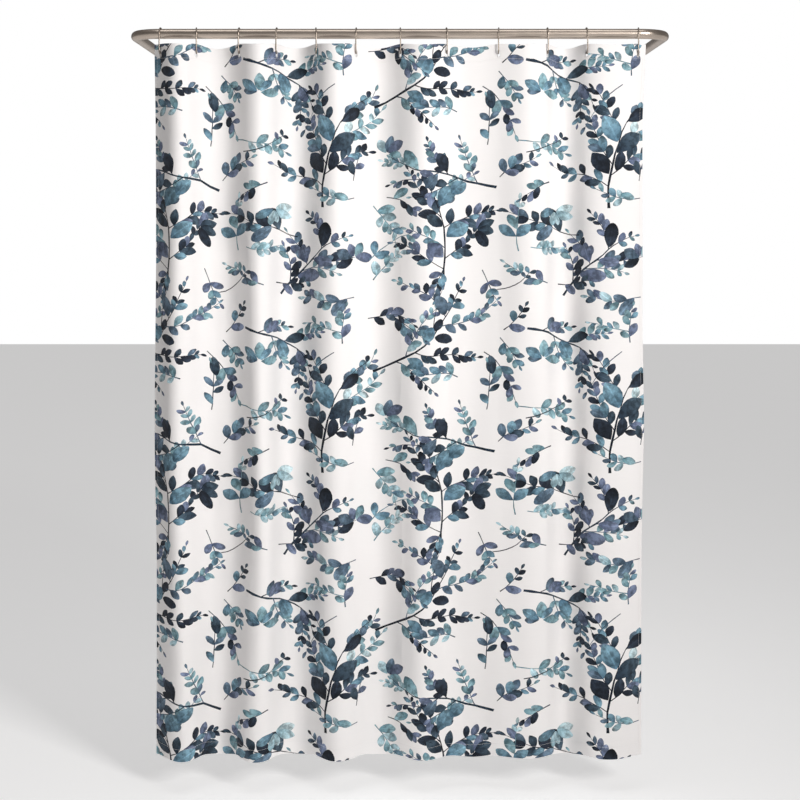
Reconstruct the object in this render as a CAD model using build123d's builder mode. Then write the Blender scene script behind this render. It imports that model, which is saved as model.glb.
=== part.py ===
"""A printed cloth shower curtain on twelve wire hooks, hung from a U-shaped wall-mounted rod.

The origin lies on the wall plane, midway between the two wall flanges, at the height of the
rod's axis.  +Z is up and +Y points into the wall, so the curtain faces -Y.
"""
from build123d import *
from math import cos, radians, sin, sqrt
import os

# Rod: a 1 inch tube bent into a U, with its two ends fastened to one wall.
ROD_DIAMETER = 25.4
ROD_WALL = 1.2
ROD_HALF_SPAN = 678.0      # from the middle to the axis of each return tube
ROD_DEPTH = 660.0          # from the wall to the axis of the front tube
BEND_RADIUS = 71.0
ELBOW_LEG = 22.0           # straight length at each end of an elbow
ROD_RADIUS = ROD_DIAMETER / 2
BORE_RADIUS = ROD_RADIUS - ROD_WALL
BEND_START_X = ROD_HALF_SPAN - BEND_RADIUS
FRONT_HALF = BEND_START_X - ELBOW_LEG
ROD_Y = -ROD_DEPTH
RETURN_START_Y = ROD_Y + BEND_RADIUS + ELBOW_LEG

# Joining sleeves inside the tubes, each held by two grub screws from below.
SLEEVE_LENGTH = 40.0
SLEEVE_RADIUS = BORE_RADIUS - 0.15
SLEEVE_WALL = 1.6
GRUB_RADIUS = 2.0
GRUB_LENGTH = 4.0
GRUB_CLEARANCE = 0.1
GRUB_OFFSET = 11.0         # from a joint to the screw on each side of it
HEX_RADIUS = 1.1
HEX_DEPTH = 1.5
GRUB_BORE = ROD_WALL + SLEEVE_WALL + 2

# Wall flanges.
FLANGE_RADIUS = 35.0
FLANGE_THICKNESS = 5.0
COLLAR_RADIUS = 17.0
COLLAR_LENGTH = 23.0
SOCKET_FLOOR = 4.0
SOCKET_RADIUS = ROD_RADIUS + 0.15
RETURN_END_Y = -SOCKET_FLOOR - 0.2
SCREW_CIRCLE = 26.0
SCREW_COUNT = 3
SCREW_HOLE_RADIUS = 2.6
SCREW_SINK_RADIUS = 4.6
SET_SCREW_Y = -FLANGE_THICKNESS - COLLAR_LENGTH / 2
SET_SCREW_LOW = -COLLAR_RADIUS - 0.3
SET_SCREW_LENGTH = -ROD_RADIUS - 0.05 - SET_SCREW_LOW
RIM_FILLET = 1.8

# Hooks: bent wire, over the rod, down its front and up again behind the cloth.
WIRE_RADIUS = 1.6
ROD_CLEARANCE = 0.6
LOOP_RADIUS = ROD_RADIUS + ROD_CLEARANCE + WIRE_RADIUS
FOOT_RADIUS = 8.0
HOOK_DROP = 50.0           # from the rod's axis to the wire's lowest point, at its centre
TAIL_LENGTH = 12.0
BACK_WRAP = 40.0           # degrees that the loop runs on past the back of the rod
HOOK_X = (-606, -514, -407, -312, -212, -111, 1, 118, 249, 373, 472, 602)
HOOK_TWIST = (7, -6, 4, 5, -5, 3, -3, -6, 5, -4, -7, 6)   # degrees about the vertical

# Curtain: flat cloth 1524 x 1829 with twelve evenly spaced buttonholes.
CLOTH_HEIGHT = 1829.0
HOLE_PITCH = 134.0         # between buttonholes, measured along the cloth
HALF_WIDTH = 620.0         # as it hangs, folds and all
EDGE_TURN = 14.0           # how far the two side edges turn towards the wall
FOLD_FACTOR = 0.64         # depth of a half-wave fold from its chord and its slack
CLOTH_THICKNESS = 1.2
CLOTH_TOP = -26.0
CLOTH_BOTTOM = CLOTH_TOP - CLOTH_HEIGHT
CLOTH_Y = ROD_Y - LOOP_RADIUS + FOOT_RADIUS
FRONT_FACE = -CLOTH_THICKNESS / 2
BACK_FACE = CLOTH_THICKNESS / 2

# Hems, the stiffening band in the header, and the sewing.
HEADER_DEPTH = 41.0
HEM_DEPTH = 37.0
SIDE_HEM = 12.0
BAND_THICKNESS = 0.9
BAND_MARGIN = 2.0
STITCH_PROUD = 0.4
STITCH_WIDTH = 0.9
HOLE_HEIGHT = 14.0
HOLE_WIDTH = 6.4
HOLE_TOP = -47.0
HOLE_CENTRE = HOLE_TOP - HOLE_HEIGHT / 2
RIM_WIDTH = 2.0
CUT_REACH = 24.0           # how far a cut runs in front of and behind the cloth

os.makedirs("parts", exist_ok=True)


def tube_section(start, direction):
    """The ring that every piece of rod is made from, square to a direction."""
    with BuildSketch(Plane(origin=start, z_dir=direction)) as ring:
        Circle(ROD_RADIUS)
        Circle(BORE_RADIUS, mode=Mode.SUBTRACT)
    return ring.sketch


def discs(places, height, radius):
    """Level discs at one height, one at each (x, y)."""
    with BuildSketch(Plane.XY.offset(height)) as dots:
        with Locations(*places):
            Circle(radius)
    return dots.sketch


def grub_holes(places):
    """What a grub screw's hole takes out of the underside of a tube, at each (x, y)."""
    return discs(places, -ROD_RADIUS - 1, GRUB_RADIUS + GRUB_CLEARANCE)


def front_tube():
    """The long straight tube that the hooks run on."""
    screws = [(side * (FRONT_HALF - GRUB_OFFSET), ROD_Y) for side in (-1, 1)]
    with BuildPart() as tube:
        extrude(tube_section((-FRONT_HALF, ROD_Y, 0), (1, 0, 0)), amount=2 * FRONT_HALF)
        extrude(grub_holes(screws), amount=GRUB_BORE, mode=Mode.SUBTRACT)
    tube.part.label = "front_tube"
    export_step(tube.part, "parts/front_tube.step")


def elbow(name, side):
    """A quarter bend with a short straight leg at each end."""
    front_leg = (side * FRONT_HALF, ROD_Y)
    bend_front = (side * BEND_START_X, ROD_Y)
    bend_back = (side * ROD_HALF_SPAN, ROD_Y + BEND_RADIUS)
    back_leg = (side * ROD_HALF_SPAN, RETURN_START_Y)
    screws = [
        (side * (FRONT_HALF + GRUB_OFFSET), ROD_Y),
        (side * ROD_HALF_SPAN, RETURN_START_Y - GRUB_OFFSET),
    ]
    with BuildPart() as bend:
        with BuildLine() as path:
            Line(front_leg, bend_front)
            TangentArc(bend_front, bend_back, tangent=(side, 0))
            Line(bend_back, back_leg)
        sweep(tube_section((*front_leg, 0), (side, 0, 0)), path=path.wire())
        extrude(grub_holes(screws), amount=GRUB_BORE, mode=Mode.SUBTRACT)
    bend.part.label = name
    export_step(bend.part, f"parts/{name}.step")


def return_tube(name, side):
    """The straight tube from an elbow back to its wall flange."""
    x = side * ROD_HALF_SPAN
    length = RETURN_END_Y - RETURN_START_Y
    with BuildPart() as tube:
        extrude(tube_section((x, RETURN_START_Y, 0), (0, 1, 0)), amount=length)
        extrude(grub_holes([(x, RETURN_START_Y + GRUB_OFFSET)]), amount=GRUB_BORE, mode=Mode.SUBTRACT)
    tube.part.label = name
    export_step(tube.part, f"parts/{name}.step")


def joining_sleeve(name, joint, direction):
    """A short inner tube that lines up two rod pieces where they butt together."""
    along = Vector(*direction)
    middle = Vector(*joint)
    start = middle - along * (SLEEVE_LENGTH / 2)
    screws = [middle - along * GRUB_OFFSET, middle + along * GRUB_OFFSET]
    holes = grub_holes([(screw.X, screw.Y) for screw in screws])
    with BuildPart() as sleeve:
        with BuildSketch(Plane(origin=start, z_dir=direction)):
            Circle(SLEEVE_RADIUS)
            Circle(SLEEVE_RADIUS - SLEEVE_WALL, mode=Mode.SUBTRACT)
        extrude(amount=SLEEVE_LENGTH)
        extrude(holes, amount=GRUB_BORE, mode=Mode.SUBTRACT)
    sleeve.part.label = name
    export_step(sleeve.part, f"parts/{name}.step")


def hex_sockets(places, height):
    """The key sockets of grub screws, seen from below, at each (x, y)."""
    with BuildSketch(Plane.XY.offset(height)) as sockets:
        with Locations(*places):
            RegularPolygon(HEX_RADIUS, 6)
    return sockets.sketch


def grub_screws(name, places, low, length):
    """Socket grub screws that stand on one level, one at each (x, y)."""
    with BuildPart() as screws:
        extrude(discs(places, low, GRUB_RADIUS), amount=length)
        extrude(hex_sockets(places, low), amount=HEX_DEPTH, mode=Mode.SUBTRACT)
    screws.part.label = name
    export_step(screws.part, f"parts/{name}.step")


def wall_flange(name, side):
    """A round wall plate with three countersunk holes and a socket for the return tube."""
    x = side * ROD_HALF_SPAN
    wall = Plane(origin=(x, 0, 0), x_dir=(1, 0, 0), z_dir=(0, -1, 0))
    set_screw = discs([(x, SET_SCREW_Y)], -COLLAR_RADIUS - 1, GRUB_RADIUS + GRUB_CLEARANCE)
    with BuildPart() as flange:
        with BuildSketch(wall):
            Circle(FLANGE_RADIUS)
        extrude(amount=FLANGE_THICKNESS)
        fillet(flange.edges().sort_by(Axis.Y).first, radius=RIM_FILLET)
        with BuildSketch(wall.offset(FLANGE_THICKNESS)):
            Circle(COLLAR_RADIUS)
        extrude(amount=COLLAR_LENGTH)
        fillet(flange.edges().sort_by(Axis.Y).first, radius=RIM_FILLET)
        with BuildSketch(wall.offset(SOCKET_FLOOR)):
            Circle(SOCKET_RADIUS)
        extrude(amount=FLANGE_THICKNESS + COLLAR_LENGTH, mode=Mode.SUBTRACT)
        with Locations(wall.offset(FLANGE_THICKNESS)):
            with PolarLocations(SCREW_CIRCLE, SCREW_COUNT, start_angle=90):
                CounterSinkHole(SCREW_HOLE_RADIUS, SCREW_SINK_RADIUS, FLANGE_THICKNESS + 1)
        extrude(set_screw, amount=COLLAR_RADIUS - ROD_RADIUS + 2, mode=Mode.SUBTRACT)
    flange.part.label = name
    export_step(flange.part, f"parts/{name}.step")


def wire_hook(name, x, twist):
    """One wire hook: a loop over the rod, a front leg, and a foot through the buttonhole."""
    angle = radians(twist)
    bend_plane = Plane(
        origin=(x, CLOTH_Y, 0),
        x_dir=(sin(angle), cos(angle), 0),
        z_dir=(cos(angle), -sin(angle), 0),
    )
    foot_z = FOOT_RADIUS - HOOK_DROP
    with BuildPart() as hook:
        with BuildLine(bend_plane) as wire:
            Line((FOOT_RADIUS, foot_z + TAIL_LENGTH), (FOOT_RADIUS, foot_z))
            CenterArc((0, foot_z), FOOT_RADIUS, 0, -180)
            Line((-FOOT_RADIUS, foot_z), (-FOOT_RADIUS, 0))
            CenterArc((LOOP_RADIUS - FOOT_RADIUS, 0), LOOP_RADIUS, 180, -180 - BACK_WRAP)
        path = wire.wire()
        with BuildSketch(Plane(origin=path @ 0, z_dir=path % 0)):
            Circle(WIRE_RADIUS)
        sweep(path=path)
        with Locations(path @ 0, path @ 1):
            Sphere(WIRE_RADIUS)
    hook.part.label = name
    export_step(hook.part, f"parts/{name}.step")


def fold_line(shift):
    """Points of the hung cloth seen from above, moved towards the wall by shift."""
    base = CLOTH_Y + shift
    points = [(-HALF_WIDTH, base + EDGE_TURN)]
    for index, (here, after) in enumerate(zip(HOOK_X, HOOK_X[1:])):
        chord = after - here
        depth = FOLD_FACTOR * sqrt(chord * (HOLE_PITCH - chord))
        towards_wall = 1 if index % 2 else -1
        points.append((here, base))
        points.append(((here + after) / 2, base + towards_wall * depth))
    points.append((HOOK_X[-1], base))
    points.append((HALF_WIDTH, base + EDGE_TURN))
    return points


def cloth_section(front, back, height):
    """The folded cloth from above, between two offsets from its middle, at one height."""
    with BuildSketch(Plane.XY.offset(height)) as section:
        with BuildLine():
            near = Spline(*fold_line(front))
            far = Spline(*fold_line(back))
            Line(near @ 0, far @ 0)
            Line(near @ 1, far @ 1)
        make_face()
    return section.sketch


def slot_row(height, width):
    """Upright slots seen from the front, one at every hook, ready to run through the cloth."""
    with BuildSketch(Plane.XZ.offset(-CLOTH_Y - CUT_REACH)) as row:
        with Locations(*[(x, HOLE_CENTRE) for x in HOOK_X]):
            SlotOverall(height, width, rotation=90)
    return row.sketch


def curtain_panel():
    """The cloth itself, hanging in shallow folds, with its twelve buttonholes."""
    section = cloth_section(FRONT_FACE, BACK_FACE, CLOTH_BOTTOM)
    with BuildPart() as panel:
        extrude(section, amount=CLOTH_HEIGHT)
        extrude(slot_row(HOLE_HEIGHT, HOLE_WIDTH), amount=2 * CUT_REACH, mode=Mode.SUBTRACT)
    panel.part.label = "curtain_panel"
    export_step(panel.part, "parts/curtain_panel.step")


def header_band():
    """The stiffening band behind the header, which the buttonholes also pass through."""
    low = CLOTH_TOP - HEADER_DEPTH + BAND_MARGIN
    section = cloth_section(BACK_FACE, BACK_FACE + BAND_THICKNESS, low)
    with BuildPart() as band:
        extrude(section, amount=HEADER_DEPTH - 2 * BAND_MARGIN)
        extrude(slot_row(HOLE_HEIGHT, HOLE_WIDTH), amount=2 * CUT_REACH, mode=Mode.SUBTRACT)
    band.part.label = "header_band"
    export_step(band.part, "parts/header_band.step")


def level_stitching(name, height):
    """A line of hem stitching along the whole width, at one height."""
    with BuildPart() as line:
        extrude(cloth_section(FRONT_FACE - STITCH_PROUD, FRONT_FACE, height), amount=STITCH_WIDTH)
    line.part.label = name
    export_step(line.part, f"parts/{name}.step")


def side_stitching(name, side):
    """A line of hem stitching down one side of the curtain."""
    low = CLOTH_BOTTOM + HEM_DEPTH + STITCH_WIDTH
    length = CLOTH_TOP - HEADER_DEPTH - low
    with BuildPart() as line:
        extrude(cloth_section(FRONT_FACE - STITCH_PROUD, FRONT_FACE, low), amount=length)
        with BuildSketch(Plane.XY.offset(low)):
            with Locations((side * (HALF_WIDTH - SIDE_HEM), CLOTH_Y)):
                Rectangle(STITCH_WIDTH, 2 * CUT_REACH)
        extrude(amount=length, mode=Mode.INTERSECT)
    line.part.label = name
    export_step(line.part, f"parts/{name}.step")


def buttonhole_stitching():
    """The sewn rims of the twelve buttonholes."""
    half = HOLE_HEIGHT / 2 + RIM_WIDTH
    section = cloth_section(FRONT_FACE - STITCH_PROUD, FRONT_FACE, HOLE_CENTRE - half)
    outline = slot_row(HOLE_HEIGHT + 2 * RIM_WIDTH, HOLE_WIDTH + 2 * RIM_WIDTH)
    with BuildPart() as rims:
        extrude(section, amount=2 * half)
        extrude(outline, amount=2 * CUT_REACH, mode=Mode.INTERSECT)
        extrude(slot_row(HOLE_HEIGHT, HOLE_WIDTH), amount=2 * CUT_REACH, mode=Mode.SUBTRACT)
    rims.part.label = "buttonhole_stitching"
    export_step(rims.part, "parts/buttonhole_stitching.step")


front_tube()
for side_name, side_sign in (("left", -1), ("right", 1)):
    elbow(f"{side_name}_elbow", side_sign)
    return_tube(f"{side_name}_return_tube", side_sign)
    wall_flange(f"{side_name}_wall_flange", side_sign)
    joining_sleeve(f"{side_name}_front_sleeve", (side_sign * FRONT_HALF, ROD_Y, 0), (1, 0, 0))
    joining_sleeve(
        f"{side_name}_return_sleeve", (side_sign * ROD_HALF_SPAN, RETURN_START_Y, 0), (0, 1, 0)
    )
    side_stitching(f"{side_name}_hem_stitching", side_sign)

sleeve_screw_places = []
for side_sign in (-1, 1):
    for offset in (-GRUB_OFFSET, GRUB_OFFSET):
        sleeve_screw_places.append((side_sign * (FRONT_HALF + offset), ROD_Y))
        sleeve_screw_places.append((side_sign * ROD_HALF_SPAN, RETURN_START_Y + offset))
grub_screws("sleeve_grub_screws", sleeve_screw_places, -ROD_RADIUS + GRUB_CLEARANCE, GRUB_LENGTH)

set_screw_places = [(side_sign * ROD_HALF_SPAN, SET_SCREW_Y) for side_sign in (-1, 1)]
grub_screws("flange_set_screws", set_screw_places, SET_SCREW_LOW, SET_SCREW_LENGTH)

for number, (hook_x, hook_twist) in enumerate(zip(HOOK_X, HOOK_TWIST), start=1):
    wire_hook(f"hook_{number:02d}", hook_x, hook_twist)

curtain_panel()
header_band()
level_stitching("header_stitching", CLOTH_TOP - HEADER_DEPTH)
level_stitching("bottom_hem_stitching", CLOTH_BOTTOM + HEM_DEPTH)
buttonhole_stitching()
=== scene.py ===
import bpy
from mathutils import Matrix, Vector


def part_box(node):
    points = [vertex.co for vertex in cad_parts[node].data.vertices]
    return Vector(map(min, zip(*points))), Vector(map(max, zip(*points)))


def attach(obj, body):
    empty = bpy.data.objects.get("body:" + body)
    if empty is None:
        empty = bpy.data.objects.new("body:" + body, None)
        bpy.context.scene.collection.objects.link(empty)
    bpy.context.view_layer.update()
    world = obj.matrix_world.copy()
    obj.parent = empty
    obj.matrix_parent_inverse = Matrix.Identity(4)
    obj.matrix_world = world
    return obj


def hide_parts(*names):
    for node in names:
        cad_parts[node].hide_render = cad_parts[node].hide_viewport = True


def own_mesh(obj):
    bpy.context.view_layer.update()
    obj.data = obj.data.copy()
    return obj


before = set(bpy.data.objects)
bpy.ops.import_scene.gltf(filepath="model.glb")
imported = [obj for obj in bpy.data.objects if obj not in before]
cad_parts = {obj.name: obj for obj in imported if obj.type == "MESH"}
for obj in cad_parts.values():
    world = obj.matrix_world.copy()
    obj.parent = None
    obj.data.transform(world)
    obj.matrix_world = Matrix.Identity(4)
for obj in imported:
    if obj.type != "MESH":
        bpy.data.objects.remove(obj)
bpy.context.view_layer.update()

import math
import random

import bpy
import numpy as np
from mathutils import Vector
from mathutils.geometry import delaunay_2d_cdt

# ---------------------------------------------------------------- sizes, in metres
CLOTH_WIDTH = 1.524
CLOTH_HEIGHT = 1.829
HOLE_PITCH = 0.134
HOLE_MARGIN = 0.025
HOLE_HEIGHT = 0.014
HOLE_WIDTH = 0.0064
HEADER_DEPTH = 0.041
HEM_DEPTH = 0.037
SIDE_HEM = 0.012
HOOKS = [f"hook_{number:02d}" for number in range(1, 13)]
HOOK_FOOT = 0.0069          # how far the cloth hangs in front of the rod's axis


def middle(node):
    low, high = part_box(node)
    return (Vector(low) + Vector(high)) / 2


HOOK_X = [middle(name).x for name in HOOKS]
ROD = middle("front_tube")
PANEL_LOW, PANEL_HIGH = (Vector(corner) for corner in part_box("curtain_panel"))
CLOTH_Y = ROD.y - HOOK_FOOT
CLOTH_TOP = PANEL_HIGH.z
HOLE_V = CLOTH_TOP - middle("buttonhole_stitching").z

# ---------------------------------------------------------------- the hung cloth
# The cloth doesn't stretch, so each level of it is a line of fixed length whose heading
# swings from one side to the other between the hooks. The swing is as wide as that span's
# slack asks for, and the folds wander a little on their way down.
STEP_U = 0.004
LEVELS = 31
EDGE_SWING = 0.75           # how far both side edges turn back towards the wall
SAG = (0.003, 0.009, 0.004, 0.007, 0.003, 0.008, 0.004, 0.008, 0.003, 0.008, 0.004)


def smooth_noise(rng, count, knots):
    """A smooth random line of count values, made from a few random knots."""
    values = rng.normal(size=knots + 3)
    at = np.linspace(0, knots - 1e-6, count)
    k = at.astype(int)
    t = at - k
    a, b, c, d = (values[k + i] for i in range(4))
    return (a * (1 - t) ** 3 + b * (3 * t**3 - 6 * t**2 + 4)
            + c * (-3 * t**3 + 3 * t**2 + 3 * t + 1) + d * t**3) / 6


def span_swing(chords, rough, u, phase):
    """Headings along one level whose spans have these chords."""
    centres = HOLE_MARGIN + HOLE_PITCH * (np.arange(len(chords)) + 0.5)
    centres = np.concatenate(([0.0], centres, [CLOTH_WIDTH]))
    swing = 2 * np.sqrt(np.clip(1 - chords / HOLE_PITCH, 0.0005, None))
    marks = HOLE_MARGIN + HOLE_PITCH * np.arange(len(chords) + 1)
    for _ in range(25):
        wide = np.concatenate(([EDGE_SWING], swing, [EDGE_SWING]))
        heading = np.interp(u, centres, wide) * wave(u + phase) + rough
        x = np.concatenate(([0.0], np.cumsum(np.cos(heading[:-1]) * np.diff(u))))
        made = np.diff(np.interp(marks, u, x))
        excess = (made - chords) / HOLE_PITCH / np.maximum(swing**2, 0.05)
        swing = np.clip(swing * (1 + 1.5 * excess), 0.05, 1.5)
    return heading


def wave(u):
    """1 or -1 at the hooks and 0 halfway between them, a little fuller than a cosine."""
    turn = np.cos(np.pi * (u - HOLE_MARGIN) / HOLE_PITCH)
    return np.sign(turn) * np.abs(turn) ** 0.85


def hung_grid():
    """Places of the cloth's points, as an array of levels by steps across."""
    rng = np.random.default_rng(7)
    u = np.linspace(0, CLOTH_WIDTH, int(CLOTH_WIDTH / STEP_U) + 1)
    marks = HOLE_MARGIN + HOLE_PITCH * np.arange(len(HOOKS))
    hooks = np.array(HOOK_X)
    wander = [smooth_noise(rng, LEVELS, 3) for _ in hooks]
    drift = [smooth_noise(rng, LEVELS, 3) for _ in range(7)]
    sag = sag_line(u)
    grid = np.zeros((LEVELS, len(u), 3))
    for level in range(LEVELS):
        down = level / (LEVELS - 1)
        loose = min(1.0, down * 1.6)
        chords = np.diff(hooks + loose * 0.010 * np.array([w[level] for w in wander]))
        phase = loose * 0.006 * sum(
            drift[k][level] * np.sin(np.pi * k * u / CLOTH_WIDTH) for k in range(1, 7))
        rough = loose * 0.05 * np.sin(2 * np.pi * u / 0.071 + 3 * drift[0][level])
        heading = span_swing(np.minimum(chords, HOLE_PITCH * 0.995), rough, u, phase)
        steps = np.diff(u)
        x = np.concatenate(([0.0], np.cumsum(np.cos(heading[:-1]) * steps)))
        y = np.concatenate(([0.0], np.cumsum(-np.sin(heading[:-1]) * steps)))
        at_hooks = np.interp(marks, u, x)
        flare = 1 + 0.008 * down
        x = (x - at_hooks.mean()) * flare + hooks.mean()
        y_hooks = np.interp(marks, u, y)
        y = y - np.interp(u, marks, y_hooks)
        if level < 3:
            x += np.interp(u, marks, hooks - np.interp(marks, u, x)) * (1 - level / 3)
        grid[level, :, 0] = x
        grid[level, :, 1] = CLOTH_Y + y
        grid[level, :, 2] = CLOTH_TOP - down * CLOTH_HEIGHT - sag
    return grid


def sag_line(u):
    """How far the top edge hangs below the hooks, all the way across."""
    span = np.clip((u - HOLE_MARGIN) / HOLE_PITCH, 0, len(HOOKS) - 1 - 1e-6)
    part = span - span.astype(int)
    depth = np.array(SAG)[span.astype(int)]
    return depth * np.sin(np.pi * part) ** 2


GRID = hung_grid()


def cubic(t):
    """Weights of the four samples round a point, and their slopes."""
    w = np.stack([-t**3 + 2 * t**2 - t, 3 * t**3 - 5 * t**2 + 2, -3 * t**3 + 4 * t**2 + t, t**3 - t**2]) / 2
    d = np.stack([-3 * t**2 + 4 * t - 1, 9 * t**2 - 10 * t, -9 * t**2 + 8 * t + 1, 3 * t**2 - 2 * t]) / 2
    return w, d


def on_cloth(flat, lift=0.0):
    """Places and normals of flat points (u, v) on the hung cloth; lift is towards its back."""
    flat = np.asarray(flat, float)
    rows, columns = GRID.shape[:2]
    a = np.clip(flat[:, 0] / CLOTH_WIDTH, 0, 1) * (columns - 1)
    b = np.clip(flat[:, 1] / CLOTH_HEIGHT, 0, 1) * (rows - 1)
    ia = np.minimum(a.astype(int), columns - 2)
    ib = np.minimum(b.astype(int), rows - 2)
    wa, da = cubic(a - ia)
    wb, db = cubic(b - ib)
    place = np.zeros((len(flat), 3))
    along = np.zeros((len(flat), 3))
    down = np.zeros((len(flat), 3))
    for j in range(4):
        row = np.clip(ib + j - 1, 0, rows - 1)
        for i in range(4):
            sample = GRID[row, np.clip(ia + i - 1, 0, columns - 1)]
            place += sample * (wa[i] * wb[j])[:, None]
            along += sample * (da[i] * wb[j])[:, None]
            down += sample * (wa[i] * db[j])[:, None]
    normal = np.cross(down, along)
    normal /= np.linalg.norm(normal, axis=1)[:, None]
    beyond = flat[:, 1] - np.clip(flat[:, 1], 0, CLOTH_HEIGHT)
    place[:, 2] -= beyond
    aside = flat[:, 0] - np.clip(flat[:, 0], 0, CLOTH_WIDTH)
    across = along / np.linalg.norm(along, axis=1)[:, None]
    place += across * aside[:, None]
    return place - normal * np.asarray(lift).reshape(-1, 1), normal


# ---------------------------------------------------------------- the leaf print
# A generic watercolour foliage of the builder's own, drawn on a repeating tile in the
# curtain's hung width, and then carried to the flat cloth.
TILE = (0.709, 0.675)
CROWDING = 0.235            # how near two leaves may be, as a share of their lengths
PRINT_RELAX = 0.6           # 1 draws leaves true as seen from the front, 0 true on flat cloth


def srgb(text):
    """A linear colour from six hex digits."""
    parts = [int(text[i:i + 2], 16) / 255 for i in (0, 2, 4)]
    return np.array([c / 12.92 if c <= 0.04045 else ((c + 0.055) / 1.055) ** 2.4 for c in parts])


INKS = {
    "black": (srgb("161c26"), srgb("2b3543")),
    "navy": (srgb("1f2c3a"), srgb("41525f")),
    "slate": (srgb("3d4f60"), srgb("64798b")),
    "mauve": (srgb("4d5870"), srgb("707b93")),
    "steel": (srgb("466375"), srgb("7496a6")),
    "teal": (srgb("5a7d88"), srgb("88a7af")),
    "aqua": (srgb("809fa9"), srgb("a9c0c7")),
    "mist": (srgb("9bb3b9"), srgb("bccdd1")),
}
TONES = {
    "dark": ("black", "black", "navy", "navy", "slate", "mauve", "steel"),
    "mid": ("mauve", "slate", "mauve", "steel", "navy", "teal", "black"),
    "soft": ("steel", "teal", "mauve", "aqua", "slate", "teal"),
    "pale": ("teal", "aqua", "mist", "aqua", "teal", "steel"),
}
STEM_INKS = {"dark": "black", "mid": "navy", "soft": "slate", "pale": "teal"}


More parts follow.
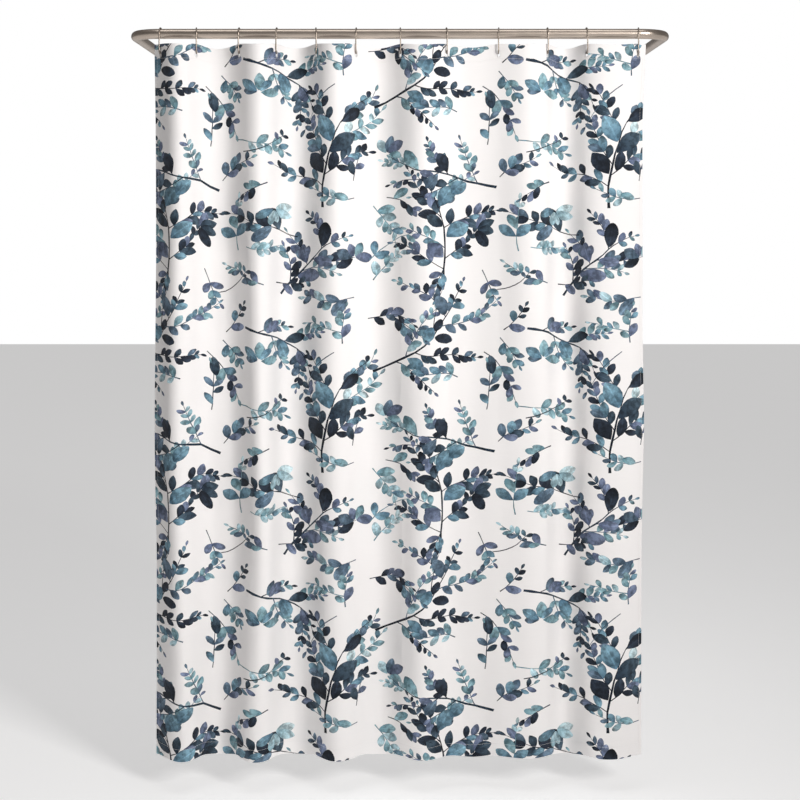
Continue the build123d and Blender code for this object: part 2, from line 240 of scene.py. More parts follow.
class Print:
    """The leaves and stems of one tile, in the order in which they were painted."""

    def __init__(self, seed):
        self.rng = random.Random(seed)
        self.shapes = []
        self.taken = []

    def gaps(self, place):
        """Distance from a place to each leaf so far, and that leaf's length."""
        for x, y, other in self.taken:
            dx = abs(x - place[0]) % TILE[0]
            dy = abs(y - place[1]) % TILE[1]
            yield math.hypot(min(dx, TILE[0] - dx), min(dy, TILE[1] - dy)), other

    def crowded(self, place, size):
        """True if a leaf of this size would sit mostly on one that is already there."""
        return any(gap < CROWDING * (size + other) for gap, other in self.gaps(place))

    def room_at(self, place):
        return min((gap for gap, _ in self.gaps(place)), default=1.0)

    def leaf(self, base, heading, length, ink, plump=0.42, pack=False):
        """A blunt oval from base along heading, bent a little to one side."""
        way = (math.cos(heading), math.sin(heading))
        centre = (base[0] + way[0] * length / 2, base[1] + way[1] * length / 2)
        if not pack and self.crowded(centre, length):
            return
        self.taken.append((*centre, length))
        half = length * plump * self.rng.uniform(0.88, 1.12) / 2
        bend = self.rng.uniform(-0.12, 0.12) * length
        sharp = self.rng.uniform(0.50, 0.80)
        widest = self.rng.uniform(0.95, 1.35)
        count = 6 if length < 0.03 else 9
        sides = []
        for side in (1, -1):
            for k in range(1, count):
                s = 0.5 - 0.5 * math.cos(math.pi * k / count)
                w = half * math.sin(math.pi * s**widest) ** sharp
                w *= 1 + self.rng.uniform(-0.05, 0.05)
                sides.append((s, side * w))
        ring = [(0.0, 0.0)] + sides[:count - 1] + [(1.0, 0.0)] + sides[count - 1:][::-1]
        outline = []
        for s, w in ring:
            off = w + bend * 4 * s * (1 - s) * 0.5
            outline.append((base[0] + way[0] * s * length - way[1] * off,
                            base[1] + way[1] * s * length + way[0] * off))
        dark, light = INKS[ink]
        if self.rng.random() < 0.35:
            dark, light = light, dark
        shade = self.rng.uniform(0.88, 1.14)
        self.shapes.append({
            "outline": outline, "base": base, "way": way, "length": length, "half": half,
            "bend": bend * 0.5, "from": dark * shade, "to": light * shade,
            "seed": self.rng.random(), "clear": 0.86 if ink in ("aqua", "mist", "teal") else 0.97,
            "stem": 0.0,
        })

    def stem(self, points, thick, thin, ink):
        """A painted twig through points, tapering to its tip."""
        if len(points) < 2:
            return
        left, right = [], []
        last = len(points) - 1
        for k, point in enumerate(points):
            before, after = points[max(k - 1, 0)], points[min(k + 1, last)]
            way = math.atan2(after[1] - before[1], after[0] - before[0])
            w = (thick + (thin - thick) * k / last) / 2 * self.rng.uniform(0.75, 1.25)
            left.append((point[0] - math.sin(way) * w, point[1] + math.cos(way) * w))
            right.append((point[0] + math.sin(way) * w, point[1] - math.cos(way) * w))
        dark, light = INKS[ink]
        length = math.dist(points[0], points[-1])
        way = ((points[-1][0] - points[0][0]) / length, (points[-1][1] - points[0][1]) / length)
        self.shapes.append({
            "outline": left + right[::-1], "base": points[0], "way": way, "length": length,
            "half": 0.01, "bend": 0.0, "from": dark, "to": dark * 0.6 + light * 0.4,
            "seed": self.rng.random(), "clear": 0.95, "stem": 1.0,
        })

    def path(self, start, heading, length, curl, steps):
        points, way = [start], heading
        for _ in range(steps):
            way += curl / steps + self.rng.uniform(-0.16, 0.16)
            x, y = points[-1]
            points.append((x + math.cos(way) * length / steps, y + math.sin(way) * length / steps))
        return points, way

    def spray(self, start, heading, length, size, tone, curl=0.5, plump=0.56):
        """A thin twig with close pairs of leaves that shrink towards its tip."""
        curl *= self.rng.choice((-1, 1))
        steps = max(3, round(length / (size * 0.55)))
        points, way = self.path(start, heading, length, curl, steps)
        self.stem(points, 0.0026, 0.0012, STEM_INKS[tone])
        self.leaf(points[-1], way, size * 0.55, self.rng.choice(TONES[tone]))
        for k in range(steps, 0, -1):
            share = k / steps
            here = points[k]
            along = math.atan2(here[1] - points[k - 1][1], here[0] - points[k - 1][0])
            for side in (1, -1):
                if self.rng.random() < 0.10:
                    continue
                grown = size * (1.30 - 0.75 * share) * self.rng.uniform(0.8, 1.25)
                turn = along + side * self.rng.uniform(0.45, 0.95)
                self.leaf(here, turn, grown, self.rng.choice(TONES[tone]), plump=plump)

    def bough(self, start, heading, length, size, tone, curl=0.4, arms=4):
        """A dark forked limb with sprays off both sides and broad leaves at its joints."""
        points, way = self.path(start, heading, length, curl, 8)
        self.stem(points, 0.0064, 0.0026, STEM_INKS[tone])
        side = self.rng.choice((-1, 1))
        for k in range(arms):
            at = 2 + round(k * 6 / max(arms - 1, 1))
            here = points[at]
            along = math.atan2(here[1] - points[at - 1][1], here[0] - points[at - 1][0])
            turn = along + side * self.rng.uniform(0.55, 0.95)
            reach = length * self.rng.uniform(0.50, 0.72)
            near = (tone, tone, "soft", "mid", "pale")
            self.spray(here, turn, reach, size * 0.62, self.rng.choice(near))
            side = -side
        for k in (3, 5, 6, 8):
            here = points[k]
            along = math.atan2(here[1] - points[k - 1][1], here[0] - points[k - 1][0])
            turn = along + side * self.rng.uniform(0.5, 1.2)
            stalk = (here[0] + math.cos(turn) * 0.005, here[1] + math.sin(turn) * 0.005)
            self.leaf(stalk, turn, size * self.rng.uniform(0.95, 1.35),
                      self.rng.choice(TONES[tone]), plump=0.60, pack=True)
            side = -side
        self.spray(points[-1], way, length * 0.45, size * 0.55, tone)

    def posy(self, centre, heading, size, tone, count=6):
        """A few broad leaves fanned beside each other."""
        for k in range(count):
            turn = heading + (k - (count - 1) / 2) * 0.78 + self.rng.uniform(-0.2, 0.2)
            base = (centre[0] + math.cos(turn) * 0.004, centre[1] + math.sin(turn) * 0.004)
            self.leaf(base, turn, size * self.rng.uniform(0.75, 1.1),
                      self.rng.choice(TONES[tone]), plump=0.56, pack=True)

    def buds(self, start, heading, length, tone="dark"):
        """A bare arching twig with a few small buds near its end."""
        points, way = self.path(start, heading, length, self.rng.choice((-0.9, 0.9)), 6)
        self.stem(points, 0.0026, 0.0013, STEM_INKS[tone])
        for k in (5, 6):
            for side in (1, -1):
                self.leaf(points[k], way + side * self.rng.uniform(0.4, 1.2),
                          self.rng.uniform(0.014, 0.022), self.rng.choice(TONES[tone]), plump=0.6)


def draw_tile():
    """One repeat of the print. Headings are in radians; y runs down the cloth."""
    art = Print(11)
    up, down, right, left = -math.pi / 2, math.pi / 2, 0.0, math.pi
    for start, heading, length, size, tone, curl, arms in (
        ((0.200, 0.640), up + 0.15, 0.210, 0.050, "dark", -0.5, 6),
        ((0.610, 0.430), up - 0.20, 0.220, 0.056, "dark", 0.5, 6),
        ((0.030, 0.170), right - 0.25, 0.230, 0.046, "dark", -0.4, 6),
        ((0.500, 0.650), up + 0.55, 0.160, 0.048, "mid", 0.5, 5),
        ((0.330, 0.380), left + 0.25, 0.190, 0.044, "mid", -0.5, 5),
        ((0.400, 0.060), right + 0.15, 0.150, 0.044, "mid", 0.4, 4),
    ):
        art.bough(start, heading, length, size, tone, curl, arms)
    for start, heading, length, size, tone in (
        ((0.540, 0.500), left + 0.10, 0.190, 0.046, "dark"),
        ((0.640, 0.120), left - 0.45, 0.140, 0.038, "soft"),
        ((0.060, 0.400), right + 0.35, 0.130, 0.032, "mid"),
        ((0.380, 0.540), up - 0.30, 0.130, 0.036, "pale"),
        ((0.300, 0.120), right + 0.75, 0.150, 0.036, "mid"),
        ((0.020, 0.560), up + 0.50, 0.130, 0.034, "pale"),
        ((0.380, 0.260), right + 0.10, 0.130, 0.034, "pale"),
        ((0.690, 0.660), left - 0.25, 0.130, 0.036, "soft"),
    ):
        art.spray(start, heading, length, size, tone)
    art.posy((0.440, 0.140), up, 0.044, "soft", 5)
    art.posy((0.480, 0.435), down - 0.4, 0.042, "pale", 5)
    art.posy((0.060, 0.290), up + 0.6, 0.042, "soft", 4)
    art.posy((0.690, 0.560), up - 0.4, 0.044, "mid", 5)
    art.posy((0.280, 0.480), right, 0.046, "dark", 4)
    art.buds((0.400, 0.290), right + 0.1, 0.110)
    art.buds((0.330, 0.640), right + 0.1, 0.090)
    fill_gaps(art)
    return art.shapes


def fill_gaps(art):
    """Sprays where the tile would otherwise be bare."""
    rng = art.rng
    for _ in range(260):
        place = (rng.uniform(0, TILE[0]), rng.uniform(0, TILE[1]))
        reach = rng.uniform(0.075, 0.130)
        if art.room_at(place) > 0.044:
            tone = rng.choice(("soft", "pale", "mid", "dark"))
            art.spray(place, rng.uniform(-math.pi, math.pi), reach, rng.uniform(0.024, 0.034), tone, 0.4)


def repeats(shapes, width, height):
    """Every copy of the tile's shapes that touches a sheet of this size."""
    made = []
    for column in range(-1, int(width / TILE[0]) + 2):
        for row in range(-1, int(height / TILE[1]) + 2):
            dx, dy = column * TILE[0] - 0.16, row * TILE[1] - 0.02
            for shape in shapes:
                xs = [x + dx for x, _ in shape["outline"]]
                ys = [y + dy for _, y in shape["outline"]]
                if max(xs) < 0.002 or min(xs) > width - 0.002 or max(ys) < 0.002 or min(ys) > height - 0.002:
                    continue
                copy = dict(shape)
                copy["outline"] = list(zip(xs, ys))
                copy["base"] = (shape["base"][0] + dx, shape["base"][1] + dy)
                made.append(copy)
    return made


HUNG_U = np.linspace(0, CLOTH_WIDTH, GRID.shape[1])
HUNG_X = GRID[LEVELS // 3, :, 0] - GRID[LEVELS // 3, 0, 0]
HUNG_WIDTH = float(HUNG_X[-1])
PRINT_X = PRINT_RELAX * HUNG_X + (1 - PRINT_RELAX) * HUNG_U * HUNG_WIDTH / CLOTH_WIDTH


def to_print(u):
    return np.interp(u, HUNG_U, PRINT_X)


def slot_outline(u, v, height, width, count=5):
    """An upright slot with round ends, as a ring of flat points."""
    ring = []
    for end, start in ((-1, math.pi), (1, 0.0)):
        for k in range(count + 1):
            a = start + math.pi * k / count
            ring.append((u + width / 2 * math.cos(a),
                         v + end * (height - width) / 2 + width / 2 * math.sin(a)))
    return ring


def buttonholes():
    return [slot_outline(HOLE_MARGIN + HOLE_PITCH * k, HOLE_V, HOLE_HEIGHT, HOLE_WIDTH)
            for k in range(len(HOOKS))]


def inside(outline, spots):
    """Which of the spots lie inside a ring of points."""
    ring = np.asarray(outline)
    within = np.zeros(len(spots), bool)
    for (x1, y1), (x2, y2) in zip(ring, np.roll(ring, -1, axis=0)):
        if y1 == y2:
            continue
        crosses = (spots[:, 1] >= min(y1, y2)) & (spots[:, 1] < max(y1, y2))
        within ^= crosses & (spots[:, 0] < x1 + (spots[:, 1] - y1) * (x2 - x1) / (y2 - y1))
    return within


def triangulated(border, rings, loose):
    """Flat points, triangles within the border, and which triangles each ring holds."""
    points, edges = [], []
    for ring in (border, *rings):
        first = len(points)
        points.extend(ring)
        edges.extend((first + k, first + (k + 1) % len(ring)) for k in range(len(ring)))
    points.extend(loose)
    made = delaunay_2d_cdt([Vector(p) for p in points], edges, [], 0, 1e-6, False)
    flat = np.array([v[:] for v in made[0]])
    triangles = np.array(made[2])
    triangles = triangles[inside(border, flat[triangles].mean(axis=1))]
    centres = flat[triangles].mean(axis=1)
    order = np.argsort(centres[:, 0])
    sorted_x = centres[order, 0]
    held = []
    for ring in rings:
        ring = np.asarray(ring)
        near = order[np.searchsorted(sorted_x, ring[:, 0].min()):np.searchsorted(sorted_x, ring[:, 0].max())]
        held.append(near[inside(ring, centres[near])])
    return flat, triangles, held


def compact(flat, triangles):
    """The same triangles, without the points that none of them uses."""
    used, renumbered = np.unique(triangles, return_inverse=True)
    return flat[used], renumbered.reshape(triangles.shape)


def grid_border(across, levels):
    """The outline of a rectangle of cloth, with a point at each grid line."""
    border = [(u, levels[0]) for u in across] + [(across[-1], v) for v in levels[1:]]
    return border + [(u, levels[-1]) for u in across[-2::-1]] + [(across[0], v) for v in levels[-2:0:-1]]


HEM_ROW = 0.007             # the cloth's mesh is finer where it is doubled by a hem


def printed_sheet(shapes):
    """Flat points, triangles, and for each print shape the triangles it covers."""
    across = np.linspace(0, CLOTH_WIDTH, 191).tolist()
    levels = np.linspace(0, CLOTH_HEIGHT, 62).tolist()
    rings = buttonholes()
    holes = len(rings)
    for shape in shapes:
        outline = np.array(shape["outline"])
        flat_u = np.interp(outline[:, 0], PRINT_X, HUNG_U, left=-0.01, right=CLOTH_WIDTH + 0.01)
        rings.append(list(zip(flat_u.tolist(), outline[:, 1].tolist())))
    between = [u + 0.5 * across[1] for u in across[:-1]]
    doubled = np.concatenate((np.arange(HEM_ROW, HEADER_DEPTH + HEM_ROW, HEM_ROW),
                              CLOTH_HEIGHT - np.arange(HEM_ROW, HEM_DEPTH + HEM_ROW, HEM_ROW)))
    loose = [(u, v) for u in across[1:-1] for v in levels[1:-1]]
    loose += [(u, float(v)) for u in between for v in doubled]
    flat, triangles, held = triangulated(grid_border(across, levels), rings, loose)
    solid = np.ones(len(triangles), bool)
    for rows in held[:holes]:
        solid[rows] = False
    renumbered = np.cumsum(solid) - 1
    covered = [renumbered[rows[solid[rows]]] for rows in held[holes:]]
    return *compact(flat, triangles[solid]), covered


# ---------------------------------------------------------------- meshes on the cloth
def thin_solid(flat, triangles, front, back):
    """Points, normals and faces of a closed sheet between two lifts from the cloth's face."""
    near, normal = on_cloth(flat, np.full(len(flat), front))
    far, _ = on_cloth(flat, np.full(len(flat), back))
    count = len(flat)
    once = {}
    for triangle in triangles:
        for k in range(3):
            a, b = int(triangle[k]), int(triangle[(k + 1) % 3])
            if (b, a) in once:
                del once[(b, a)]
            else:
                once[(a, b)] = True
    rim = [(a, b, b + count, a + count) for a, b in once]
    faces = [tuple(t[::-1]) for t in triangles.tolist()]
    faces += [tuple(p + count for p in t) for t in triangles.tolist()]
    points = np.concatenate((near, far))
    normals = np.concatenate((normal, -normal))
    return points, normals, faces + rim


def mesh_piece(name, points, faces, material, normals=None):
    """A new piece of the scene from plain lists."""
    mesh = bpy.data.meshes.new(name)
    mesh.from_pydata([tuple(p) for p in points], [], faces)
    mesh.update()
    mesh.shade_smooth()
    if normals is not None:
        mesh.normals_split_custom_set_from_vertices([tuple(n) for n in normals])
    mesh.materials.append(material)
    piece = bpy.data.objects.new(name, mesh)
    bpy.context.collection.objects.link(piece)
    return piece


def on_curtain(piece, slot, *nodes):
    """Makes a piece hang with the curtain, in place of the part file's pieces named in nodes."""
    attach(piece, "curtain")
    if nodes:
        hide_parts(*nodes)
    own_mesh(piece)
    return piece


def ink_corners(flat, triangles, covered, shapes):
    """Colour, and place within its leaf, of each corner of each triangle."""
    spots = np.stack([to_print(flat[:, 0]), flat[:, 1]], axis=1)[triangles]
    ink = np.ones((len(triangles), 3, 4))
    ink[..., 3] = 0
    leaf = np.zeros((len(triangles), 3, 3))
    for shape, rows in zip(shapes, covered):
        away = spots[rows] - np.array(shape["base"])
        way = np.array(shape["way"])
        s = np.clip(away @ way / shape["length"], 0, 1)
        t = (away @ np.array([-way[1], way[0]]) - shape["bend"] * 4 * s * (1 - s)) / shape["half"]
        blend = (s * s * (3 - 2 * s))[..., None]
        colour = shape["from"] * (1 - blend) + shape["to"] * blend
        clear = shape["clear"]
        ink[rows, :, :3] = colour * (clear + (1 - clear) * ink[rows, :, :3])
        ink[rows, :, 3] = 1
        leaf[rows] = np.stack([s, np.clip(t, -1.5, 1.5), np.full_like(s, shape["seed"])], axis=-1)
        if shape["stem"]:
            leaf[rows, :, 1] = 0.4
    return ink, leaf


def curtain_panel(material):
    """The printed cloth: one closed sheet whose leaf outlines are edges of its mesh."""
    shapes = repeats(draw_tile(), HUNG_WIDTH, CLOTH_HEIGHT)
    flat, triangles, covered = printed_sheet(shapes)
    points, normals, faces = thin_solid(flat, triangles, 0.0, CLOTH_THICKNESS)
    panel = mesh_piece("curtain_panel_cloth", points, faces, material, normals)
    mesh = panel.data
    ink, leaf = ink_corners(flat, triangles, covered, shapes)
    through = ink.copy()
    through[..., :3] = 1 - (1 - through[..., :3]) * SHOW_THROUGH
    loops = len(mesh.loops)
    colours = np.ones((loops, 4))
    colours[:, 3] = 0
    places = np.zeros((loops, 3))
    half = len(triangles) * 3
    colours[:half] = ink[:, ::-1].reshape(-1, 4)
    colours[half:2 * half] = through.reshape(-1, 4)
    places[:half] = leaf[:, ::-1].reshape(-1, 3)
    places[half:2 * half] = leaf.reshape(-1, 3)
    mesh.attributes.new("ink", "FLOAT_COLOR", "CORNER").data.foreach_set("color", colours.ravel())
    mesh.attributes.new("leaf", "FLOAT_VECTOR", "CORNER").data.foreach_set("vector", places.ravel())
    flat_map(mesh, np.concatenate((flat, flat)))
    print("print:", len(shapes), "shapes,", len(triangles), "triangles a side")
    return panel


def flat_map(mesh, flat):
    """A UV map that holds each point's place on the flat cloth, in metres."""
    layer = mesh.uv_layers.new(name="flat")
    owner = np.zeros(len(mesh.loops), int)
    mesh.loops.foreach_get("vertex_index", owner)
    layer.data.foreach_set("uv", np.asarray(flat)[owner].ravel())


def plain_strip(u_range, v_range, holes=()):
    """Flat points and triangles of a rectangle of cloth, with holes."""
    across = np.linspace(*u_range, max(2, int((u_range[1] - u_range[0]) / 0.006) + 1)).tolist()
    levels = np.linspace(*v_range, max(2, int((v_range[1] - v_range[0]) / 0.012) + 1)).tolist()
    loose = [(u, v) for u in across[1:-1] for v in levels[1:-1]]
    flat, triangles, held = triangulated(grid_border(across, levels), holes, loose)
    solid = np.ones(len(triangles), bool)
    for rows in held:
        solid[rows] = False
    return compact(flat, triangles[solid])


def strip_solid(u_range, v_range, front, back, holes=()):
    flat, triangles = plain_strip(u_range, v_range, holes)
    return (*thin_solid(flat, triangles, front, back), np.concatenate((flat, flat)))


def joined(parts):
    """Several (points, normals, faces, flat) sets as one."""
    points, normals, faces, flats = [], [], [], []
    start = 0
    for some_points, some_normals, some_faces, some_flat in parts:
        faces += [tuple(p + start for p in face) for face in some_faces]
        points.append(some_points)
        normals.append(some_normals)
        flats.append(some_flat)
        start += len(some_points)
    return np.concatenate(points), np.concatenate(normals), faces, np.concatenate(flats)


def header_band(material):
    """The stiffening band behind the header."""
    points, normals, faces, flat = strip_solid(
        (0.004, CLOTH_WIDTH - 0.004), (0.002, HEADER_DEPTH - 0.002),
        CLOTH_THICKNESS + 0.0001, CLOTH_THICKNESS + 0.0005, buttonholes())
    band = mesh_piece("header_band_cloth", points, faces, material, normals)
    flat_map(band.data, flat)
    return band


def turned_hems(material):
    """The cloth's own edges, turned to the back and sewn down."""
    first, second = CLOTH_THICKNESS + 0.0006, CLOTH_THICKNESS + 0.0010
    parts = [
        strip_solid((0, CLOTH_WIDTH), (0, HEADER_DEPTH), first, second, buttonholes()),
        strip_solid((0, CLOTH_WIDTH), (CLOTH_HEIGHT - HEM_DEPTH, CLOTH_HEIGHT), first, second),
    ]
    for low in (0.0, CLOTH_WIDTH - SIDE_HEM):
        parts.append(strip_solid((low, low + SIDE_HEM), (HEADER_DEPTH, CLOTH_HEIGHT - HEM_DEPTH),
                                 CLOTH_THICKNESS + 0.0005, CLOTH_THICKNESS + 0.0009))
    points, normals, faces, flat = joined(parts)
    hems = mesh_piece("turned_hems", points, faces, material, normals)
    flat_map(hems.data, flat)
    return hems


# ---------------------------------------------------------------- thread
def stitches(name, spots, length, width, material):
    """Short raised stitches at flat spots (u, v, heading)."""
    spots = np.asarray(spots, float)
    way = np.stack([np.cos(spots[:, 2]), np.sin(spots[:, 2])], axis=1)
    side = np.stack([-way[:, 1], way[:, 0]], axis=1)
    template = [(-1, 0, 0.2), (-0.6, 1, 0.1), (-0.6, 0, -1), (-0.6, -1, 0.1),
                (0.6, 1, 0.1), (0.6, 0, -1), (0.6, -1, 0.1), (1, 0, 0.2)]
    points, normals = [], []
    for along, across, height in template:
        flat = spots[:, :2] + way * (along * length / 2) + side * (across * width / 2)
        place, normal = on_cloth(flat, np.full(len(flat), height * width * 0.55 - 0.00005))
        points.append(place)
        normals.append(normal)
    points = np.stack(points, axis=1).reshape(-1, 3)
    shape = [(0, 2, 1), (0, 3, 2), (0, 1, 3), (1, 2, 5, 4), (2, 3, 6, 5), (3, 1, 4, 6),
             (7, 4, 5), (7, 5, 6), (7, 6, 4)]
    faces = [tuple(8 * k + p for p in face) for k in range(len(spots)) for face in shape]
    return mesh_piece(name, points, faces, material)


def stitch_line(start, end, pitch):
    """Spots of a straight row of stitches between two flat points."""
    length = math.dist(start, end)
    heading = math.atan2(end[1] - start[1], end[0] - start[0])
    count = int(length / pitch)
    return [(start[0] + (end[0] - start[0]) * (k + 0.5) / count,
             start[1] + (end[1] - start[1]) * (k + 0.5) / count, heading) for k in range(count)]


def thread_pieces(material):
    """Every row of sewing, and the rims of the buttonholes."""
    inset = SIDE_HEM - 0.002
    foot = CLOTH_HEIGHT - HEM_DEPTH + 0.002
    head = HEADER_DEPTH - 0.002
    rows = {
        "header_stitching": ((0.002, head), (CLOTH_WIDTH - 0.002, head)),
        "bottom_hem_stitching": ((0.002, foot), (CLOTH_WIDTH - 0.002, foot)),
        "left_hem_stitching": ((inset, head), (inset, foot)),
        "right_hem_stitching": ((CLOTH_WIDTH - inset, head), (CLOTH_WIDTH - inset, foot)),
    }
    for node, (start, end) in rows.items():
        spots = stitch_line(start, end, 0.0036)
        on_curtain(stitches(f"{node}_thread", spots, 0.0028, 0.0006, material), "thread", node)
    spots = []
    for k in range(len(HOOKS)):
        centre = (HOLE_MARGIN + HOLE_PITCH * k, HOLE_V)
        ring = slot_outline(*centre, HOLE_HEIGHT + 0.002, HOLE_WIDTH + 0.002, 11)
        for a, b in zip(ring, ring[1:] + ring[:1]):
            parts = max(1, round(math.dist(a, b) / 0.0007))
            heading = math.atan2(b[1] - a[1], b[0] - a[0]) + math.pi / 2
            for n in range(parts):
                spots.append((a[0] + (b[0] - a[0]) * n / parts, a[1] + (b[1] - a[1]) * n / parts, heading))
    rims = stitches("buttonhole_rims", spots, 0.0022, 0.0006, material)
    on_curtain(rims, "thread", "buttonhole_stitching")


# ---------------------------------------------------------------- materials
class Shader:
    """A material's nodes, made and joined by short calls."""

    def __init__(self, name):
        self.material = bpy.data.materials.new(name)
        self.material.use_nodes = True
        self.tree = self.material.node_tree
        self.tree.nodes.clear()
        self.out = self.tree.nodes.new("ShaderNodeOutputMaterial")
        self.body = self.tree.nodes.new("ShaderNodeBsdfPrincipled")
        self.tree.links.new(self.body.outputs[0], self.out.inputs["Surface"])

    def put(self, socket, value):
        if isinstance(value, bpy.types.NodeSocket):
            self.tree.links.new(value, socket)
        elif value is not None:
            socket.default_value = value

    def node(self, kind, inputs=(), out=0, **settings):
        made = self.tree.nodes.new(kind)
        for key, value in settings.items():
            setattr(made, key, value)
        pairs = inputs.items() if isinstance(inputs, dict) else enumerate(inputs)
        for key, value in pairs:
            self.put(made.inputs[key], value)
        return made.outputs[out]

    def math(self, operation, *values, clamp=False):
        return self.node("ShaderNodeMath", values, operation=operation, use_clamp=clamp)

    def mix(self, factor, first, second, blend="MIX"):
        made = self.tree.nodes.new("ShaderNodeMix")
        made.data_type = "RGBA"
        made.blend_type = blend
        self.put(made.inputs[0], factor)
        self.put(made.inputs[6], first)
        self.put(made.inputs[7], second)
        return made.outputs[2]

    def ramp(self, value, low, high, at_low=0.0, at_high=1.0):
        return self.node("ShaderNodeMapRange", (value, low, high, at_low, at_high),
                         interpolation_type="SMOOTHSTEP")

    def noise(self, vector, scale, detail=3.0, rough=0.5):
        return self.node("ShaderNodeTexNoise",
                         {"Vector": vector, "Scale": scale, "Detail": detail, "Roughness": rough})

    def scaled(self, vector, scale):
        return self.node("ShaderNodeMapping", {"Vector": vector, "Scale": scale})

    def bump(self, height, distance, strength=1.0, normal=None):
        inputs = {"Height": height, "Distance": distance, "Strength": strength}
        if normal is not None:
            inputs["Normal"] = normal
        return self.node("ShaderNodeBump", inputs)


def rgba(colour):
    return (float(colour[0]), float(colour[1]), float(colour[2]), 1.0)


def weave(shader, pitch, depth):
    """A plain weave with uneven threads, as a normal and a shade."""
    flat = shader.node("ShaderNodeUVMap", uv_map="flat")
    warp = shader.node("ShaderNodeTexWave", {
        "Vector": flat, "Scale": 0.5 / pitch, "Distortion": 0.6,
        "Detail": 1.0, "Detail Scale": 0.3}, out=1, wave_type="BANDS", bands_direction="X")
    weft = shader.node("ShaderNodeTexWave", {
        "Vector": flat, "Scale": 0.5 / pitch, "Distortion": 0.6,
        "Detail": 1.0, "Detail Scale": 0.3}, out=1, wave_type="BANDS", bands_direction="Y")
    threads = shader.math("MULTIPLY", warp, weft)
    slub = shader.noise(shader.scaled(flat, (14.0, 420.0, 1.0)), 1.0, 3.0, 0.6)
    creases = shader.noise(shader.scaled(flat, (9.0, 2.2, 1.0)), 1.0, 2.0, 0.4)
    soft = shader.bump(creases, 0.0016, 0.5)
    normal = shader.bump(threads, depth, 0.5, soft)
    return flat, slub, normal


def cloth_material(name, printed):
    """White polyester in a plain weave, printed or plain."""
    shader = Shader(name)
    flat, slub, normal = weave(shader, 0.0008, 0.00012)
    paper = shader.mix(slub, rgba(PAPER * 0.975), rgba(PAPER * 1.015))
    colour = paper
    if printed:
        colour = printed_colour(shader, flat, paper)
    shader.put(shader.body.inputs["Base Color"], colour)
    shader.put(shader.body.inputs["Normal"], normal)
    shader.body.inputs["Roughness"].default_value = 0.82
    shader.body.inputs["Specular IOR Level"].default_value = 0.25
    shader.body.inputs["Sheen Weight"].default_value = 0.12
    shader.body.inputs["Sheen Roughness"].default_value = 0.45
    return shader.material


def printed_colour(shader, flat, paper):
    """Watercolour leaves: pooled pigment, a dark rim, a vein and a darker tip."""
    ink = shader.tree.nodes.new("ShaderNodeVertexColor")
    ink.layer_name = "ink"
    leaf = shader.node("ShaderNodeAttribute", attribute_name="leaf", out=1)
    split = shader.tree.nodes.new("ShaderNodeSeparateXYZ")
    shader.put(split.inputs[0], leaf)
    along, across, seed = split.outputs
    across = shader.math("ABSOLUTE", across)
    shift = shader.node("ShaderNodeCombineXYZ", (0.0, 0.0, shader.math("MULTIPLY", seed, 37.0)))
    spot = shader.node("ShaderNodeVectorMath", (flat, shift), operation="ADD")
    pooled = shader.ramp(shader.noise(spot, 62.0, 4.0, 0.62), 0.34, 0.66, 0.58, 1.50)
    grain = shader.ramp(shader.noise(spot, 260.0, 2.0, 0.6), 0.2, 0.8, 0.93, 1.07)
    rim = shader.ramp(across, 0.72, 1.0, 1.0, 0.74)
    vein_shows = shader.math("GREATER_THAN", seed, 0.45)
    near_vein = shader.ramp(across, 0.02, 0.14, 1.0, 0.0)
    vein = shader.math("MULTIPLY_ADD", shader.math("MULTIPLY", near_vein, vein_shows), 0.35, 1.0)
    has_tip = shader.math("GREATER_THAN", shader.math("FRACT", shader.math("MULTIPLY", seed, 7.0)), 0.62)
    tip = shader.math("MULTIPLY", shader.ramp(along, 0.66, 0.92), has_tip)
    tip = shader.math("MULTIPLY_ADD", tip, -0.5, 1.0)
    strength = shader.math("MULTIPLY", shader.math("MULTIPLY", pooled, grain),
                           shader.math("MULTIPLY", shader.math("MULTIPLY", rim, vein), tip))
    grey = shader.node("ShaderNodeCombineColor", (strength, strength, strength))
    pigment = shader.mix(1.0, ink.outputs[0], grey, "MULTIPLY")
    return shader.mix(ink.outputs[1], paper, pigment)


def metal_material(name, colour, rough, grain, stretch):
    """Brushed plate: fine drawn lines, and small changes of tone and gloss."""
    shader = Shader(name)
    place = shader.node("ShaderNodeTexCoord", out=3)
    lines = shader.noise(shader.scaled(place, stretch), 1.0, 4.0, 0.65)
    cloud = shader.noise(place, 18.0, 3.0, 0.5)
    tone = shader.mix(shader.ramp(cloud, 0.3, 0.7), rgba(colour * 0.93), rgba(colour * 1.05))
    tone = shader.mix(shader.math("MULTIPLY", lines, 0.25), tone, rgba(colour * 0.75))
    shader.put(shader.body.inputs["Base Color"], tone)
    shader.put(shader.body.inputs["Roughness"], shader.ramp(lines, 0.25, 0.75, rough * 0.82, rough * 1.18))
    shader.put(shader.body.inputs["Normal"], shader.bump(lines, grain, 0.4))
    shader.body.inputs["Metallic"].default_value = 1.0
    return shader.material


def thread_material():
    """Twisted sewing thread."""
    shader = Shader("thread")
    place = shader.node("ShaderNodeTexCoord", out=3)
    twist = shader.noise(place, 2600.0, 2.0, 0.5)
    shader.put(shader.body.inputs["Base Color"], shader.mix(twist, rgba(PAPER * 0.80), rgba(PAPER * 0.98)))
    shader.put(shader.body.inputs["Normal"], shader.bump(twist, 0.0001, 0.5))
    shader.body.inputs["Roughness"].default_value = 0.7
    shader.body.inputs["Sheen Weight"].default_value = 0.2
    return shader.material


# ---------------------------------------------------------------- the object
CLOTH_THICKNESS = 0.0006
SHOW_THROUGH = 0.32         # how much of the print shows on the back of the cloth
PAPER = srgb("f6f3f2")
NICKEL = srgb("cdbfb2")

printed_cloth = cloth_material("printed_cloth", True)
plain_cloth = cloth_material("plain_cloth", False)
band_cloth = cloth_material("band_cloth", False)
thread = thread_material()

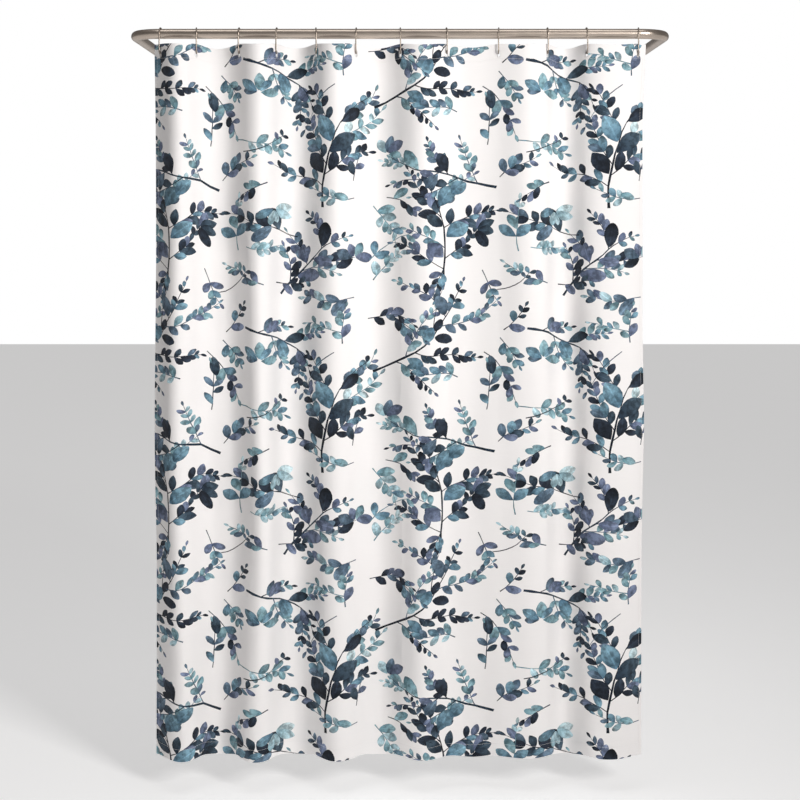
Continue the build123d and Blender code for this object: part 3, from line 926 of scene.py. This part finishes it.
panel = on_curtain(curtain_panel(printed_cloth), "printed_cloth", "curtain_panel")
band = on_curtain(header_band(band_cloth), "header_band", "header_band")
hems = on_curtain(turned_hems(plain_cloth), "printed_cloth")
thread_pieces(thread)

rod_x = metal_material("rod_nickel_front", NICKEL, 0.30, 0.00004, (9.0, 900.0, 900.0))
rod_y = metal_material("rod_nickel_return", NICKEL, 0.30, 0.00004, (900.0, 9.0, 900.0))
rod_bend = metal_material("rod_nickel_bend", NICKEL, 0.30, 0.00003, (500.0, 500.0, 900.0))
flange_nickel = metal_material("flange_nickel", NICKEL, 0.32, 0.00003, (300.0, 900.0, 300.0))
wire_nickel = metal_material("wire_nickel", NICKEL * 0.6, 0.34, 0.000002, (60.0, 60.0, 20.0))
sleeve_steel = metal_material("sleeve_steel", srgb("b8b8b8"), 0.35, 0.00003, (400.0, 400.0, 400.0))
screw_steel = metal_material("screw_steel", srgb("6b665f"), 0.35, 0.00003, (900.0, 900.0, 900.0))
FINISHES = {
    "front_tube": rod_x,
    "left_return_tube": rod_y, "right_return_tube": rod_y,
    "left_elbow": rod_bend, "right_elbow": rod_bend,
    "left_wall_flange": flange_nickel, "right_wall_flange": flange_nickel,
    "sleeve_grub_screws": screw_steel, "flange_set_screws": screw_steel,
}
for name in HOOKS:
    FINISHES[name] = wire_nickel
for side in ("left", "right"):
    for place in ("front", "return"):
        FINISHES[f"{side}_{place}_sleeve"] = sleeve_steel
for name, finish in FINISHES.items():
    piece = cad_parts[name]
    if not piece.material_slots:
        piece.data.materials.append(finish)
    for material_slot in piece.material_slots:
        material_slot.material = finish

# ---------------------------------------------------------------- room, light and camera
FLOOR_DROP = 0.09
FLOOR_GLOW = 0.40           # the floor is a lit white sheet, as in a packshot
CAMERA_DISTANCE = 4.0
CAMERA_DROP = 0.47          # below the rod
SCALE = 393.0               # image pixels to a metre, at the curtain
SHIFT_Y = -0.115
PITCH = math.radians(3.2)


def floor_and_sky():
    """A plain pale floor, and a studio that is bright above and darker at eye level."""
    shader = Shader("floor")
    place = shader.node("ShaderNodeTexCoord", out=3)
    grain = shader.noise(place, 3.0, 2.0, 0.5)
    white = shader.mix(grain, rgba(srgb("f3f3f3")), rgba(srgb("f6f6f6")))
    shader.put(shader.body.inputs["Base Color"], white)
    shader.body.inputs["Roughness"].default_value = 0.9
    shader.body.inputs["Emission Color"].default_value = (1, 1, 1, 1)
    shader.body.inputs["Emission Strength"].default_value = FLOOR_GLOW
    size, z = 14.0, PANEL_LOW.z - FLOOR_DROP
    floor = mesh_piece("floor", [(-size, -size, z), (size, -size, z), (size, size, z), (-size, size, z)],
                       [(0, 1, 2, 3)], shader.material)
    world = bpy.data.worlds.new("studio")
    bpy.context.scene.world = world
    world.use_nodes = True
    tree = world.node_tree
    tree.nodes.clear()
    out = tree.nodes.new("ShaderNodeOutputWorld")
    background = tree.nodes.new("ShaderNodeBackground")
    seen = tree.nodes.new("ShaderNodeBackground")
    seen.inputs["Color"].default_value = (1, 1, 1, 1)
    seen.inputs["Strength"].default_value = 1.0
    mixer = tree.nodes.new("ShaderNodeMixShader")
    path = tree.nodes.new("ShaderNodeLightPath")
    coordinate = tree.nodes.new("ShaderNodeTexCoord")
    split = tree.nodes.new("ShaderNodeSeparateXYZ")
    ramp = tree.nodes.new("ShaderNodeValToRGB")
    tree.links.new(coordinate.outputs["Generated"], split.inputs[0])
    tree.links.new(split.outputs[2], ramp.inputs[0])
    tree.links.new(ramp.outputs[0], background.inputs["Color"])
    tree.links.new(path.outputs["Is Camera Ray"], mixer.inputs[0])
    tree.links.new(background.outputs[0], mixer.inputs[1])
    tree.links.new(seen.outputs[0], mixer.inputs[2])
    tree.links.new(mixer.outputs[0], out.inputs["Surface"])
    elements = ramp.color_ramp.elements
    elements[0].position, elements[0].color = 0.0, (0.75, 0.74, 0.73, 1)
    elements[1].position, elements[1].color = 1.0, (1.0, 1.0, 1.0, 1)
    for position, level in ((0.47, 0.62), (0.60, 0.55), (0.80, 0.95)):
        element = elements.new(position)
        element.color = (level, level * 0.96, level * 0.95, 1)
    background.inputs["Strength"].default_value = 0.25


def soft_light(name, place, aim, size, power, colour=(1, 1, 1), spread=180):
    lamp = bpy.data.lights.new(name, "AREA")
    lamp.spread = math.radians(spread)
    lamp.shape = "RECTANGLE"
    lamp.size, lamp.size_y = size
    lamp.energy = power
    lamp.color = colour
    holder = bpy.data.objects.new(name, lamp)
    holder.location = place
    holder.rotation_euler = (Vector(aim) - Vector(place)).to_track_quat("-Z", "Y").to_euler()
    bpy.context.collection.objects.link(holder)


def photo_camera():
    camera = bpy.data.objects.new("camera", bpy.data.cameras.new("camera"))
    bpy.context.collection.objects.link(camera)
    camera.location = (0.0, CLOTH_Y - CAMERA_DISTANCE, ROD.z - CAMERA_DROP)
    camera.rotation_euler = (math.pi / 2 - PITCH, 0, 0)
    camera.data.sensor_width = 36.0
    camera.data.lens = 36.0 * SCALE * CAMERA_DISTANCE / 800
    camera.data.shift_y = SHIFT_Y
    camera.data.clip_end = 60
    bpy.context.scene.camera = camera


bpy.context.scene.view_settings.view_transform = "Standard"
floor_and_sky()
centre = (0.0, CLOTH_Y, CLOTH_TOP - 0.5 * CLOTH_HEIGHT)
soft_light("key", (2.1, CLOTH_Y - 3.2, 0.7), (-0.35, CLOTH_Y, -0.45), (1.0, 1.4), 26, (1.0, 0.985, 0.970), 80)
soft_light("top", (0.0, CLOTH_Y - 0.6, 2.2), (0, CLOTH_Y, 0), (2.4, 1.2), 14)
photo_camera()
